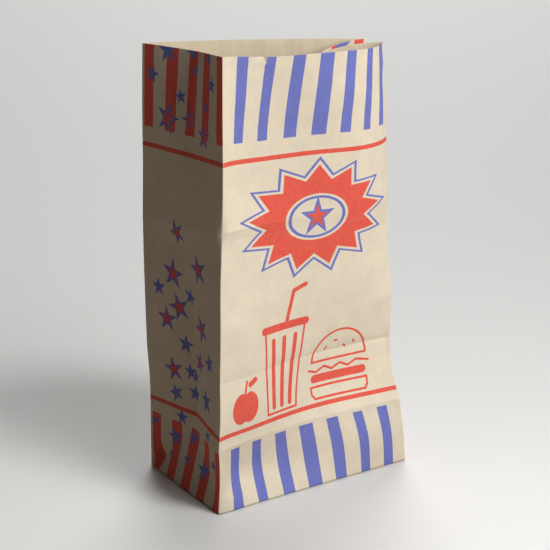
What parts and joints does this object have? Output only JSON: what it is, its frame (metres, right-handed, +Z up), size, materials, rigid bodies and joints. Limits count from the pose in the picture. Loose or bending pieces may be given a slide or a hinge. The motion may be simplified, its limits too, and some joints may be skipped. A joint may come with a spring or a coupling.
{
  "type": "paper lunch bag",
  "caption": "Open paper lunch bag with a folded block bottom and side gussets, standing upright on its base with stripes at foot and rim.",
  "frame": {"origin": "middle of the folded base, on the surface the bag stands on", "axes": "+Z up out of the open mouth, -Y out of the front panel, +X to the right along the front panel"},
  "size_m": [0.1555, 0.098, 0.2895],
  "materials": {
    "kraft_paper": "matte"
  },
  "bodies": {
    "root": {"paper_bag": "kraft_paper"}
  },
  "joints": []
}
